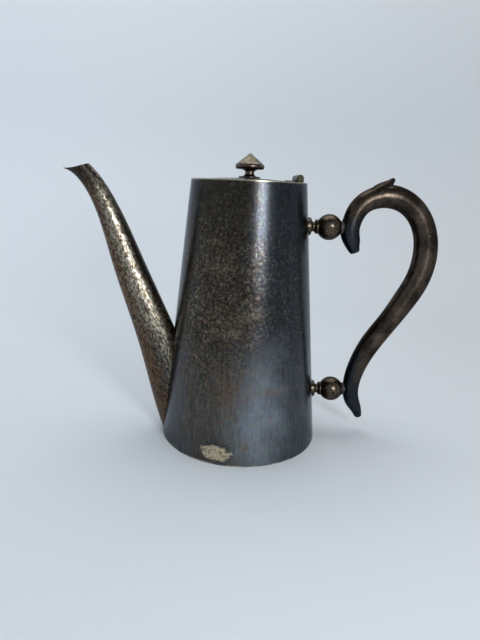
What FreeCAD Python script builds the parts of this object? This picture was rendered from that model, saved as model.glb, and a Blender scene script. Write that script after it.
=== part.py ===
"""Silver-plated coffee pot with a conical body, long spout, scroll handle and hinged lid.

Millimetres. The origin is the centre of the foot, on the table.
+Z is up, the handle is at +X and the spout at -X.
"""
import FreeCAD, Part
import math
import os

V = FreeCAD.Vector
X_AXIS = V(1, 0, 0)
Y_AXIS = V(0, 1, 0)
Z_AXIS = V(0, 0, 1)

# Fits
SOLDER = 0.05            # gap that the solder fills between two fixed pieces
PIN_FIT = 0.02           # radial gap round a fixed pin or stud
RUNNING_FIT = 0.05       # radial gap between the hinge pin and the moving knuckle
LID_GAP = 0.3            # round the edge of the lid
SEAT_GAP = 0.15          # under the lid, above its bearer
BEZEL_GAP = 0.7          # between bezel and bearer, so that the bezel can swing out
KNUCKLE_GAP = 0.2        # end to end between the hinge knuckles

# Body: a straight-sided cone that stands on the edge of its wall
BODY_HEIGHT = 175.0
BASE_RADIUS = 54.5
RIM_RADIUS = 37.5
BODY_WALL = 1.0
RIM_ROUNDING = 0.4

# Base: a dished pressing whose flange is soldered inside the foot of the wall
BASE_SHEET = 1.1
BASE_FLANGE = 6.0        # height of the floor's edge above the table
BASE_LIFT = 0.6          # foot of the flange above the table
BASE_CROWN = 1.5         # rise of the floor at its centre
BASE_BEND = 2.0          # inner radius of the bend between flange and floor

# Strainer: staggered holes through the wall, behind the spout
STRAINER_HOLE_RADIUS = 2.0
STRAINER_LOW = 19.0      # height of the lowest row
STRAINER_PITCH = 7.0
STRAINER_ROWS = 6
STRAINER_ACROSS = 3      # holes in the wider rows

# Spout: horizontal oval sections, placed from the wall at the root and from the lip at the top
SPOUT_LIP_ABOVE_RIM = 2.8
SPOUT_SHEET = 1.2
SPOUT_LIP_SHEET = 2.6    # solid metal at the point of the lip
SPOUT_LIP_POINT = 1.0    # 0 for a round lip, 1 for a pointed one
SPOUT_LIP_BACK = 3.4     # the back of the mouth stands this much above the point
SPOUT_ROOT = (           # height, front and back beyond the wall at that height, half width
    (-8.0, -3.9, -43.0, 11.8),
    (45.0, 16.8, -15.0, 10.9),
)
SPOUT_TOP = (            # height below the lip, front and back beyond the foot, half width
    (87.0, 25.5, -0.3, 9.9),
    (50.0, 36.5, 16.3, 8.7),
    (25.0, 43.9, 27.8, 7.2),
    (12.5, 49.7, 34.7, 6.2),
    (6.0, 54.4, 39.0, 5.6),
)
SPOUT_MOUTH = (63.8, 47.4, 5.6)   # front and back beyond the foot, half width
SPOUT_MOUTH_DIP = 0.8    # hollow between the point and the back of the mouth
SPOUT_MOUTH_EDGE = 0.4   # flat left at both ends of the hollow

# Lid bearer: a ring soldered inside the rim
BEARER_HEIGHT = 4.0
BEARER_LEDGE = 2.5       # width that the lid rests on, from the inside of the wall

# Lid: a thin disc with a shallow dome and a ring that drops inside the bearer
LID_SHEET = 1.0
LID_BORDER = 6.2         # flat border round the dome
LID_DOME_RISE = 1.7
BEZEL_SHEET = 0.9
BEZEL_DEPTH = 5.0
VENT_RADIUS = 1.2
VENT_OFFSET = 19.0       # from the centre of the lid towards the hinge

# Knob
FINIAL_FLANGE_RADIUS = 6.8
FINIAL_FLANGE_HEIGHT = 0.9
FINIAL_FLANGE_ROUNDING = 0.2
FINIAL_WAIST_RADIUS = 3.0
FINIAL_WAIST_LOW = 2.3       # all heights from the underside of the flange
FINIAL_WAIST_HIGH = 4.2
FINIAL_HOLLOW = 0.6          # depth of the curves on both sides of the waist
FINIAL_BAND_RADIUS = 8.7
FINIAL_BAND_LOW = 5.5
FINIAL_BAND_HIGH = 8.7
FINIAL_BAND_ROUNDING = 0.7
FINIAL_HEIGHT = 15.3
FINIAL_TIP_RADIUS = 1.0
STUD_RADIUS = 1.9
STUD_IN_KNOB = 6.0
STUD_END = 1.0           # stud left below the nut
WASHER_RADIUS = 5.0
WASHER_THICKNESS = 0.8
NUT_ACROSS_FLATS = 7.0
NUT_HEIGHT = 3.0

# Hinge: three knuckles on a pin, on the back edge of the rim
HINGE_INSET = 5.9        # axis inside the outer edge of the rim
HINGE_ABOVE_RIM = 2.7
KNUCKLE_RADIUS = 2.3
HINGE_LENGTH = 19.0
LID_KNUCKLE_LENGTH = 7.4
HINGE_PIN_RADIUS = 0.9
HINGE_SPLIT = 0.8        # gap between the straight edge of the lid and the fixed leaf
LID_LEAF_LENGTH = 8.0
LID_LEAF_HEIGHT = 1.3

# Handle sockets: distances along the socket from the wall of the pot
UPPER_SOCKET_DROP = 27.5     # axis below the rim
LOWER_SOCKET_HEIGHT = 32.0   # axis above the table
SOCKET_FOOT_RADIUS = 5.9
SOCKET_FOOT_END = 2.4
SOCKET_NECK_RADIUS = 3.2
SOCKET_NECK_END = 5.3
SOCKET_COLLAR_RADIUS = 4.8
SOCKET_COLLAR_END = 7.3
SOCKET_ROUNDING = 0.8
BALL_RADIUS = 8.6
BALL_CENTRE = 14.8
INSULATOR_RADIUS = 4.4
INSULATOR_THICKNESS = 1.9
TENON_RADIUS = 3.2
TENON_DEPTH = 10.5       # from the flat of the ball inwards
HANDLE_PIN_RADIUS = 1.1
HANDLE_PIN_PROUD = 0.15  # end of the pin outside the ball
SEAT_DEPTH = 0.8         # spot face in the handle that takes the insulator

# Handle: centre line from each seat (along +X, along +Z) with the half thickness there
HANDLE_WIDTH_RATIO = 0.92
ROUNDED_END = (35, 62, 80)   # degrees round a tail at which its end is drawn in
HANDLE_UPPER = (
    (9.2, -12.6, 4.5),
    (7.3, -7.6, 5.9),
    (5.9, 0.0, 6.4),
    (8.0, 8.4, 6.5),
    (13.5, 16.2, 6.8),
    (23.2, 20.8, 7.4),
    (35.5, 20.7, 7.7),
    (46.5, 15.1, 7.6),
    (54.7, 5.1, 7.7),
    (59.1, -8.0, 8.0),
    (59.4, -21.0, 8.2),
    (56.9, -32.7, 8.2),
    (51.9, -43.6, 8.1),
)
HANDLE_LOWER = (
    (31.8, 56.9, 7.5),
    (21.4, 41.5, 7.3),
    (12.2, 25.2, 6.8),
    (6.9, 8.4, 6.1),
    (6.6, -3.0, 5.6),
    (10.1, -12.6, 4.6),
    (13.5, -19.5, 3.0),
)
THUMB_POINT = (          # horn on the crown of the scroll: from the upper seat, with its radius
    (20.2, 20.2, 6.4),
    (25.4, 26.1, 5.3),
    (30.4, 31.8, 1.7),
)


def wall_radius(height):
    """Outside radius of the conical body at a height above the table."""
    return BASE_RADIUS - (BASE_RADIUS - RIM_RADIUS) * height / BODY_HEIGHT


def cone(radius_at, low, high):
    """Solid cone between two heights, where radius_at gives its radius."""
    return Part.makeCone(radius_at(low), radius_at(high), high - low, V(0, 0, low))


def inner_radius(height):
    return wall_radius(height) - BODY_WALL


def soldered_radius(height):
    """Outside radius of a piece that is soldered inside the wall."""
    return inner_radius(height) - SOLDER


def disc(radius, low, high, x=0.0, y=0.0):
    return Part.makeCylinder(radius, high - low, V(x, y, low))


def rod(radius, start, end, direction, through):
    """Cylinder along a direction, from start to end as measured from the point it goes through."""
    return Part.makeCylinder(radius, end - start, through + direction * start, direction)


def line(a, b):
    return Part.makeLine(a, b)


def arc(a, middle, b):
    return Part.Arc(a, middle, b).toShape()


def dome(edge_radius, edge_height, rise):
    """Arc of a shallow dome, from its edge to its crown on the Z axis."""
    sphere = (edge_radius ** 2 + rise ** 2) / (2 * rise)
    half_angle = math.asin(edge_radius / sphere) / 2
    crown = edge_height + rise
    middle = V(sphere * math.sin(half_angle), 0, crown - sphere * (1 - math.cos(half_angle)))
    return arc(V(edge_radius, 0, edge_height), middle, V(0, 0, crown))


def turned(edges, centre=V(0, 0, 0), axis=Z_AXIS):
    """Solid of revolution of a closed outline."""
    return Part.Face(Part.Wire(Part.sortEdges(edges)[0])).revolve(centre, axis, 360)


def lofted(sections):
    """Smooth solid through closed sections, of a low degree so that it doesn't swing about."""
    return Part.makeLoft(sections, True, False, False, LOFT_DEGREE)


BEYOND = 20.0            # how far cutting bodies run past what they cut
LOFT_DEGREE = 3
OVAL_STEPS = 12          # points on each half of a spout section
BEARER_TOP = BODY_HEIGHT - LID_SHEET - SEAT_GAP
BEARER_INNER_RADIUS = RIM_RADIUS - BODY_WALL - BEARER_LEDGE
LID_UNDERSIDE = BODY_HEIGHT - LID_SHEET
LID_RADIUS = RIM_RADIUS - BODY_WALL - LID_GAP
LID_DOME_RADIUS = LID_RADIUS - LID_BORDER
LID_CROWN = BODY_HEIGHT + LID_DOME_RISE
WASHER_TOP = LID_CROWN - LID_SHEET - SEAT_GAP
NUT_TOP = WASHER_TOP - WASHER_THICKNESS
NUT_BOTTOM = NUT_TOP - NUT_HEIGHT
HINGE_OFFSET = RIM_RADIUS - HINGE_INSET
HINGE_AXIS = V(HINGE_OFFSET, 0, BODY_HEIGHT + HINGE_ABOVE_RIM)
LID_EDGE = HINGE_OFFSET - HINGE_SPLIT / 2
FIXED_EDGE = HINGE_OFFSET + HINGE_SPLIT / 2
BALL_FLAT = BALL_CENTRE + math.sqrt(BALL_RADIUS ** 2 - INSULATOR_RADIUS ** 2)
SOCKET_END = BALL_FLAT + INSULATOR_THICKNESS
SOCKET_HEIGHTS = {"upper": BODY_HEIGHT - UPPER_SOCKET_DROP, "lower": LOWER_SOCKET_HEIGHT}
HANDLE_PIN_END = BALL_RADIUS + HANDLE_PIN_PROUD


def socket_origin(where):
    """Point where a socket's axis meets the outside of the wall."""
    height = SOCKET_HEIGHTS[where]
    return V(wall_radius(height), 0, height)


def body_shell():
    """Conical wall, rounded at the rim and pierced behind the spout."""
    wall = cone(wall_radius, 0, BODY_HEIGHT).cut(cone(inner_radius, -BEYOND, BODY_HEIGHT + BEYOND))
    rim = [e for e in wall.Edges if e.BoundBox.ZMin > BODY_HEIGHT - 0.001]
    wall = wall.makeFillet(RIM_ROUNDING, rim)
    holes = []
    for row in range(STRAINER_ROWS):
        height = STRAINER_LOW + row * STRAINER_PITCH
        count = STRAINER_ACROSS - row % 2
        for i in range(count):
            y = (i - (count - 1) / 2) * STRAINER_PITCH
            start = V(-wall_radius(height), y, height)
            holes.append(rod(STRAINER_HOLE_RADIUS, -BODY_WALL * 3, BODY_WALL * 3, X_AXIS, start))
    return wall.cut(Part.makeCompound(holes))


def base_disc():
    """Dished bottom with a turned-down flange that follows the wall."""
    foot = soldered_radius(BASE_LIFT)
    shoulder = soldered_radius(BASE_FLANGE)
    bend = BASE_BEND + BASE_SHEET
    edge = shoulder - bend
    low = BASE_FLANGE - BASE_SHEET
    cut_45 = 1 - math.sqrt(0.5)
    top = V(0, 0, BASE_FLANGE + BASE_CROWN)
    under = V(0, 0, low + BASE_CROWN)
    start = BASE_FLANGE - bend
    outer_start = V(soldered_radius(start), 0, start)
    edges = [
        line(V(foot, 0, BASE_LIFT), outer_start),
        arc(
            outer_start,
            V(shoulder - bend * cut_45, 0, BASE_FLANGE - bend * cut_45),
            V(edge, 0, BASE_FLANGE),
        ),
        dome(edge, BASE_FLANGE, BASE_CROWN),
        line(top, under),
        dome(edge, low, BASE_CROWN),
        arc(
            V(edge, 0, low),
            V(edge + BASE_BEND * math.sqrt(0.5), 0, low - BASE_BEND * cut_45),
            V(outer_start.x - BASE_SHEET, 0, start),
        ),
        line(V(outer_start.x - BASE_SHEET, 0, start), V(foot - BASE_SHEET, 0, BASE_LIFT)),
        line(V(foot - BASE_SHEET, 0, BASE_LIFT), V(foot, 0, BASE_LIFT)),
    ]
    return turned(edges)


def rim_bearer():
    """Seat for the lid, soldered inside the rim."""
    ring = cone(soldered_radius, BEARER_TOP - BEARER_HEIGHT, BEARER_TOP)
    return ring.cut(disc(BEARER_INNER_RADIUS, 0, BODY_HEIGHT))


def oval(front, back, half_width, pointed=0.0):
    """Closed section between two points: an oval at 0, drawn out to a point in front at 1."""
    halves = []
    for side in (-1, 1):
        points = []
        for i in range(OVAL_STEPS + 1):
            turn = math.pi * i / OVAL_STEPS
            rounded = (1 - math.cos(turn)) / 2
            along = rounded + (math.sin(turn / 2) - rounded) * pointed
            across = side * half_width * math.sin(turn)
            points.append(front + (back - front) * along + Y_AXIS * across)
        curve = Part.BSplineCurve()
        curve.interpolate(Points=points, Parameters=[i / OVAL_STEPS for i in range(OVAL_STEPS + 1)])
        halves.append(curve.toShape())
    return Part.Wire(halves)


def spout_mouth(sheet, lip_sheet):
    """Front and back of the mouth, drawn in along its slope by the thickness of the metal."""
    front, back, _ = SPOUT_MOUTH
    lip = BODY_HEIGHT + SPOUT_LIP_ABOVE_RIM
    ahead = V(-BASE_RADIUS - front, 0, lip)
    behind = V(-BASE_RADIUS - back, 0, lip + SPOUT_LIP_BACK)
    slope = (behind - ahead).normalize()
    return ahead + slope * lip_sheet, behind - slope * sheet


def spout_sections(sheet, lip_sheet):
    """Sections from root to mouth, drawn in from the outside by the thickness of the metal."""
    lip = BODY_HEIGHT + SPOUT_LIP_ABOVE_RIM
    levels = [(z, wall_radius(z), front, back, width) for z, front, back, width in SPOUT_ROOT]
    levels += [(lip - drop, BASE_RADIUS, front, back, width) for drop, front, back, width in SPOUT_TOP]
    sections = []
    for z, radius, front, back, width in levels:
        ahead = V(-radius - front + sheet, 0, z)
        behind = V(-radius - back - sheet, 0, z)
        sections.append(oval(ahead, behind, width - sheet))
    ahead, behind = spout_mouth(sheet, lip_sheet)
    sections.append(oval(ahead, behind, SPOUT_MOUTH[2] - sheet, SPOUT_LIP_POINT))
    return sections


def mouth_hollow():
    """Round cutter across the spout that dips the edge of the mouth between its two ends."""
    ahead, behind = spout_mouth(SPOUT_MOUTH_EDGE, SPOUT_MOUTH_EDGE)
    half_chord = (behind - ahead).Length / 2
    radius = (half_chord ** 2 + SPOUT_MOUTH_DIP ** 2) / (2 * SPOUT_MOUTH_DIP)
    above = (behind - ahead).normalize().cross(Y_AXIS)
    centre = (ahead + behind) / 2 + above * (radius - SPOUT_MOUTH_DIP)
    return rod(radius, -BEYOND, BEYOND, Y_AXIS, centre)


def spout():
    """Tapering tube, closed against the wall of the body and open at the lip."""
    outside = lofted(spout_sections(0.0, 0.0))
    bore = spout_sections(SPOUT_SHEET, SPOUT_LIP_SHEET)
    beyond_mouth = bore[-1].copy()
    beyond_mouth.translate((bore[-1].BoundBox.Center - bore[-2].BoundBox.Center) * 0.3)
    bore[0].translate(V(0, 0, -SPOUT_SHEET))
    body = cone(lambda z: wall_radius(z) + SOLDER, -BEYOND, BODY_HEIGHT)
    return outside.cut(lofted(bore + [beyond_mouth])).cut(body).cut(mouth_hollow())


def lid_plate():
    """Disc with a shallow dome, cut straight at the hinge."""
    edges = [
        line(V(0, 0, LID_CROWN), V(0, 0, LID_CROWN - LID_SHEET)),
        line(V(LID_RADIUS, 0, LID_UNDERSIDE), V(LID_RADIUS, 0, BODY_HEIGHT)),
    ]
    for height in (LID_UNDERSIDE, BODY_HEIGHT):
        edges.append(dome(LID_DOME_RADIUS, height, LID_DOME_RISE))
        edges.append(line(V(LID_DOME_RADIUS, 0, height), V(LID_RADIUS, 0, height)))
    plate = turned(edges)
    holes = disc(STUD_RADIUS + PIN_FIT, 0, LID_CROWN + BEYOND)
    holes = holes.fuse(disc(VENT_RADIUS, 0, LID_CROWN + BEYOND, VENT_OFFSET))
    return plate.cut(holes).cut(behind_the_hinge(LID_EDGE))


def behind_the_hinge(edge):
    """Block that takes away all that lies behind a straight edge."""
    size = 4 * BASE_RADIUS
    return Part.makeBox(size, size, size, V(edge, -size / 2, BODY_HEIGHT - size / 2))


def lid_bezel():
    """Ring that keeps the lid centred on the pot."""
    outer = BEARER_INNER_RADIUS - BEZEL_GAP
    low = LID_UNDERSIDE - BEZEL_DEPTH
    ring = disc(outer, low, LID_UNDERSIDE).cut(disc(outer - BEZEL_SHEET, low, LID_UNDERSIDE))
    return ring.cut(behind_the_hinge(LID_EDGE - BEZEL_SHEET))


def finial():
    """Turned knob: flange, waist, rounded band and a cone."""

    def at(radius, height):
        return V(radius, 0, LID_CROWN + height)

    def on_tip(angle):
        drop = FINIAL_TIP_RADIUS * (1 - math.cos(angle))
        return at(FINIAL_TIP_RADIUS * math.sin(angle), FINIAL_HEIGHT - drop)

    def bowed(a, b, out):
        """Arc from a to b, bowed outwards, or hollow where out is negative."""
        inwards = (b - a).normalize().cross(Y_AXIS)
        return arc(a, (a + b) / 2 - inwards * out, b)

    flange_low = at(FINIAL_FLANGE_RADIUS, 0)
    flange_high = at(FINIAL_FLANGE_RADIUS, FINIAL_FLANGE_HEIGHT)
    waist_low = at(FINIAL_WAIST_RADIUS, FINIAL_WAIST_LOW)
    waist_high = at(FINIAL_WAIST_RADIUS, FINIAL_WAIST_HIGH)
    band_low = at(FINIAL_BAND_RADIUS, FINIAL_BAND_LOW)
    band_high = at(FINIAL_BAND_RADIUS, FINIAL_BAND_HIGH)
    slope = math.atan2(FINIAL_HEIGHT - FINIAL_BAND_HIGH, FINIAL_BAND_RADIUS)
    edges = [
        line(at(0, 0), flange_low),
        bowed(flange_low, flange_high, FINIAL_FLANGE_ROUNDING),
        bowed(flange_high, waist_low, -FINIAL_HOLLOW),
        line(waist_low, waist_high),
        bowed(waist_high, band_low, -FINIAL_HOLLOW),
        bowed(band_low, band_high, FINIAL_BAND_ROUNDING),
        line(band_high, on_tip(slope)),
        arc(on_tip(slope), on_tip(slope / 2), on_tip(0)),
        line(on_tip(0), at(0, 0)),
    ]
    stud_hole = disc(STUD_RADIUS + PIN_FIT, 0, LID_CROWN + STUD_IN_KNOB + SEAT_GAP)
    return turned(edges).cut(stud_hole)


def finial_stud():
    return disc(STUD_RADIUS, NUT_BOTTOM - STUD_END, LID_CROWN + STUD_IN_KNOB)


def finial_washer():
    ring = disc(WASHER_RADIUS, NUT_TOP, WASHER_TOP)
    return ring.cut(disc(STUD_RADIUS + PIN_FIT, NUT_TOP, WASHER_TOP))


def finial_nut():
    """Hexagon nut, chamfered at its corners by a cone."""
    corner = NUT_ACROSS_FLATS / math.sqrt(3)
    turns = [math.pi * i / 3 for i in range(7)]
    points = [V(corner * math.cos(turn), corner * math.sin(turn), NUT_BOTTOM) for turn in turns]
    hexagon = Part.Face(Part.makePolygon(points)).extrude(V(0, 0, NUT_HEIGHT))
    chamfer = cone(lambda z: NUT_ACROSS_FLATS / 2 + z - NUT_BOTTOM, NUT_BOTTOM, NUT_TOP)
    return hexagon.common(chamfer).cut(disc(STUD_RADIUS + PIN_FIT, NUT_BOTTOM, NUT_TOP))


def knuckle(start, end, bore):
    """Tube along the hinge axis."""
    tube = rod(KNUCKLE_RADIUS, start, end, Y_AXIS, HINGE_AXIS)
    return tube.cut(rod(bore, start, end, Y_AXIS, HINGE_AXIS))


def block(low, high):
    return Part.makeBox(high.x - low.x, high.y - low.y, high.z - low.z, low)


def hinge_body_leaf():
    """Fixed segment that closes the back of the rim and carries the two outer knuckles."""
    plate = cone(soldered_radius, BEARER_TOP, BODY_HEIGHT)
    plate = plate.common(behind_the_hinge(FIXED_EDGE))
    bore = HINGE_PIN_RADIUS + PIN_FIT
    inner_end = LID_KNUCKLE_LENGTH / 2 + KNUCKLE_GAP
    for side in (-1, 1):
        start, end = sorted((side * inner_end, side * HINGE_LENGTH / 2))
        back = HINGE_OFFSET + KNUCKLE_RADIUS
        web = block(V(FIXED_EDGE, start, BEARER_TOP), V(back, end, HINGE_AXIS.z))
        web = web.cut(rod(bore, start, end, Y_AXIS, HINGE_AXIS))
        plate = plate.fuse([web, knuckle(start, end, bore)])
    return plate.removeSplitter()


def hinge_lid_leaf():
    """Tongue on the lid with the middle knuckle."""
    half = LID_KNUCKLE_LENGTH / 2
    bore = HINGE_PIN_RADIUS + RUNNING_FIT
    front = LID_EDGE - LID_LEAF_LENGTH
    tongue = block(V(front, -half, BODY_HEIGHT), V(LID_EDGE, half, BODY_HEIGHT + LID_LEAF_HEIGHT))
    upright = [e for e in tongue.Edges if e.BoundBox.ZLength > LID_LEAF_HEIGHT / 2]
    corners = [e for e in upright if e.BoundBox.XMax < LID_EDGE - LID_LEAF_LENGTH / 2]
    tongue = tongue.makeFillet(half / 2, corners)
    knuckle_front = HINGE_OFFSET - KNUCKLE_RADIUS
    web = block(V(knuckle_front, -half, BODY_HEIGHT), V(LID_EDGE, half, HINGE_AXIS.z))
    web = web.cut(rod(bore, -half, half, Y_AXIS, HINGE_AXIS))
    leaf = tongue.fuse([web, knuckle(-half, half, bore)])
    return leaf.cut(lid_plate()).removeSplitter()


def hinge_pin():
    return rod(HINGE_PIN_RADIUS, -HINGE_LENGTH / 2, HINGE_LENGTH / 2, Y_AXIS, HINGE_AXIS)


def socket(where):
    """Turned fitting: foot, neck, collar and a bored ball with a cross hole."""
    origin = socket_origin(where)

    def at(along, radius):
        return origin + V(along, 0, radius)

    ball_start = BALL_CENTRE - math.sqrt(BALL_RADIUS ** 2 - SOCKET_COLLAR_RADIUS ** 2)
    inside = at(-SOCKET_FOOT_RADIUS, 0)
    inside_edge = at(-SOCKET_FOOT_RADIUS, SOCKET_FOOT_RADIUS)
    foot_side = at(SOCKET_FOOT_END - 2 * SOCKET_ROUNDING, SOCKET_FOOT_RADIUS)
    foot_round = at(SOCKET_FOOT_END - SOCKET_ROUNDING / 2, SOCKET_FOOT_RADIUS - SOCKET_ROUNDING / 4)
    foot_end = at(SOCKET_FOOT_END, SOCKET_FOOT_RADIUS - SOCKET_ROUNDING)
    neck = at((SOCKET_FOOT_END + SOCKET_NECK_END) / 2, SOCKET_NECK_RADIUS)
    collar_start = at(SOCKET_NECK_END, SOCKET_COLLAR_RADIUS - SOCKET_ROUNDING)
    collar = at((SOCKET_NECK_END + SOCKET_COLLAR_END) / 2, SOCKET_COLLAR_RADIUS)
    collar_end = at(SOCKET_COLLAR_END, SOCKET_COLLAR_RADIUS - SOCKET_ROUNDING)
    ball_edge = at(ball_start, SOCKET_COLLAR_RADIUS)
    flat_edge = at(BALL_FLAT, INSULATOR_RADIUS)
    edges = [
        line(inside, inside_edge),
        line(inside_edge, foot_side),
        arc(foot_side, foot_round, foot_end),
        arc(foot_end, neck, collar_start),
        arc(collar_start, collar, collar_end),
        line(collar_end, ball_edge),
        arc(ball_edge, at(BALL_CENTRE, BALL_RADIUS), flat_edge),
        line(flat_edge, at(BALL_FLAT, 0)),
        line(at(BALL_FLAT, 0), inside),
    ]
    fitting = turned(edges, origin, X_AXIS)
    bore_end = BALL_FLAT - TENON_DEPTH - SEAT_GAP
    bore = rod(TENON_RADIUS + PIN_FIT, bore_end, SOCKET_END, X_AXIS, origin)
    body = cone(lambda z: wall_radius(z) + SOLDER, -BEYOND, BODY_HEIGHT)
    return fitting.cut(body).cut([bore, cross_hole(where)])


def ball_centre(where):
    return socket_origin(where) + X_AXIS * BALL_CENTRE


def cross_hole(where):
    """Hole across the ball for the handle pin."""
    return rod(HANDLE_PIN_RADIUS + PIN_FIT, -BEYOND, BEYOND, Y_AXIS, ball_centre(where))


def insulator(where):
    """Disc that keeps the heat of the pot from the handle."""
    origin = socket_origin(where)
    plain = rod(INSULATOR_RADIUS, BALL_FLAT, SOCKET_END, X_AXIS, origin)
    return plain.cut(rod(TENON_RADIUS + PIN_FIT, BALL_FLAT, SOCKET_END, X_AXIS, origin))


def handle_pin(where):
    return rod(HANDLE_PIN_RADIUS, -HANDLE_PIN_END, HANDLE_PIN_END, Y_AXIS, ball_centre(where))


def oval_across(point, tangent, half, width_ratio):
    """Oval set square to a tangent, with its long axis in the plane of the handle."""
    up = Y_AXIS.cross(tangent)
    turn = FreeCAD.Matrix(
        up.x, Y_AXIS.x, tangent.x, point.x,
        up.y, Y_AXIS.y, tangent.y, point.y,
        up.z, Y_AXIS.z, tangent.z, point.z,
        0, 0, 0, 1,
    )
    wire = Part.Wire([Part.Ellipse(V(0, 0, 0), half, half * width_ratio).toShape()])
    wire.Placement = FreeCAD.Placement(turn)
    return wire


def swept(stations, width_ratio):
    """Loft through ovals along a smooth centre line, rounded over at both ends."""
    spine = Part.BSplineCurve()
    spine.interpolate(Points=[point for point, half in stations])
    path = [(point, spine.tangent(spine.parameter(point))[0], half) for point, half in stations]
    first, last = path[0], path[-1]
    for angle in ROUNDED_END:
        reach = math.sin(math.radians(angle))
        shrink = math.cos(math.radians(angle))
        for end, way in ((first, -1), (last, 1)):
            point, tangent, half = end
            drawn_in = (point + tangent * (way * half * reach), tangent, half * shrink)
            path.insert(0 if way < 0 else len(path), drawn_in)
    return lofted([oval_across(point, tangent, half, width_ratio) for point, tangent, half in path])


def handle_stations():
    """Centre line of the scroll, from the upper tail to the lower tail."""
    stations = []
    for where, offsets in (("upper", HANDLE_UPPER), ("lower", HANDLE_LOWER)):
        seat = socket_origin(where) + X_AXIS * SOCKET_END
        stations += [(seat + V(x - SEAT_DEPTH, 0, z), half) for x, z, half in offsets]
    return stations


def handle():
    """Scroll handle with rounded tails, a thumb point and a tenon for each socket."""
    scroll = swept(handle_stations(), HANDLE_WIDTH_RATIO)
    seat = socket_origin("upper") + X_AXIS * SOCKET_END
    thumb = swept([(seat + V(x, 0, z), half) for x, z, half in THUMB_POINT], 1.0)
    scroll = scroll.fuse(thumb)
    for where in SOCKET_HEIGHTS:
        origin = socket_origin(where)
        spot_face = rod(INSULATOR_RADIUS + SOLDER, 0, SOCKET_END, X_AXIS, origin)
        tenon_start = BALL_FLAT - TENON_DEPTH
        tenon = rod(TENON_RADIUS, tenon_start, SOCKET_END + TENON_RADIUS, X_AXIS, origin)
        scroll = scroll.cut(spot_face).fuse(tenon).cut(cross_hole(where))
    return scroll.removeSplitter()


PIECES = {
    "body_shell": body_shell,
    "base_disc": base_disc,
    "rim_bearer": rim_bearer,
    "spout": spout,
    "handle": handle,
    "hinge_body_leaf": hinge_body_leaf,
    "hinge_pin": hinge_pin,
    "hinge_lid_leaf": hinge_lid_leaf,
    "lid_plate": lid_plate,
    "lid_bezel": lid_bezel,
    "finial": finial,
    "finial_stud": finial_stud,
    "finial_washer": finial_washer,
    "finial_nut": finial_nut,
}
FITTINGS = {"socket": socket, "insulator": insulator, "handle_pin": handle_pin}

os.makedirs("parts", exist_ok=True)
shapes = {name: make() for name, make in PIECES.items()}
for kind, make in FITTINGS.items():
    for where in SOCKET_HEIGHTS:
        shapes[where + "_" + kind] = make(where)
for name, shape in shapes.items():
    box = shape.optimalBoundingBox()
    size = "%.1f x %.1f x %.1f" % (box.XLength, box.YLength, box.ZLength)
    state = "solids %d valid %s volume %.0f" % (len(shape.Solids), shape.isValid(), shape.Volume)
    print(name, size, state)
    shape.exportStep("parts/" + name + ".step")
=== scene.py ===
# %% [markdown]
# # A tarnished coffee pot
# The pot's twenty pieces come in as solids that are already in their right places, in metres.
# This lesson doesn't move them. It gives them old, worn finishes and lights the pot as on a studio
# table. Every solid already has its real shape, so no piece is replaced.

# %% Load the solids
import math
import bpy
from mathutils import Matrix, Vector

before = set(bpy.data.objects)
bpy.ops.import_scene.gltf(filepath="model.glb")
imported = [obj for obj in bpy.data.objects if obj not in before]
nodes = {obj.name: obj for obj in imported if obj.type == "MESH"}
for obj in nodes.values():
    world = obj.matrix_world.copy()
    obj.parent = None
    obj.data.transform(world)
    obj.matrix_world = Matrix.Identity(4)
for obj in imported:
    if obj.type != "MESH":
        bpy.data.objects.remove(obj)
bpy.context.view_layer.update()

# %% [markdown]
# ## The camera
# A phone or compact camera stood about a third of a metre in front of the pot's side, about level
# with the lid, looked slightly down and was turned by a few degrees. The place, the direction and
# the lens were worked out from the rim, the foot and the handle in the picture. A camera looks
# along its own -Z, so its matrix is built from the directions to its right, upwards and backwards.

# %% Camera
CAMERA_PLACE = Vector((-0.0251, -0.3331, 0.1687))
LOOKING_ALONG = Vector((0.0668, 0.9653, -0.2523)).normalized()
ROLL = 0.0439          # radians
FOCAL_PIXELS = 496.3
PICTURE_HEIGHT = 640
SENSOR = 36.0          # millimetres
NEAREST = 0.01         # metres: nothing closer is drawn

level_right = LOOKING_ALONG.cross(Vector((0, 0, 1))).normalized()
level_up = level_right.cross(LOOKING_ALONG)
right = level_right * math.cos(ROLL) + level_up * math.sin(ROLL)
up = level_up * math.cos(ROLL) - level_right * math.sin(ROLL)

camera = bpy.data.objects.new("camera", bpy.data.cameras.new("camera"))
bpy.context.collection.objects.link(camera)
camera.data.sensor_width = SENSOR
camera.data.lens = FOCAL_PIXELS * SENSOR / PICTURE_HEIGHT
camera.data.clip_start = NEAREST
turn = Matrix((right, up, -LOOKING_ALONG)).transposed().to_4x4()
camera.matrix_world = Matrix.Translation(CAMERA_PLACE) @ turn
bpy.context.scene.camera = camera
print("lens: %.2f mm" % camera.data.lens)

# %% [markdown]
# ## Helpers for finishes
# Colours are written as they look on a screen, in hex, and Blender's shaders want linear light, so
# one function converts them. A second one adds a node: each input is either a value or another
# node's socket, and anything else is a setting of the node. That keeps a material readable from
# top to bottom as a list of layers. A third starts a finish and gives the place on the pot in
# millimetres, so that a pattern's scale is one over a real size.

# %% Helpers
MM = 1000.0


def linear(code):
    """Linear colour with alpha from an sRGB hex value."""
    parts = [int(code[i:i + 2], 16) / 255 for i in (1, 3, 5)]
    return [x / 12.92 if x <= 0.04045 else ((x + 0.055) / 1.055) ** 2.4 for x in parts] + [1.0]


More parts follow.
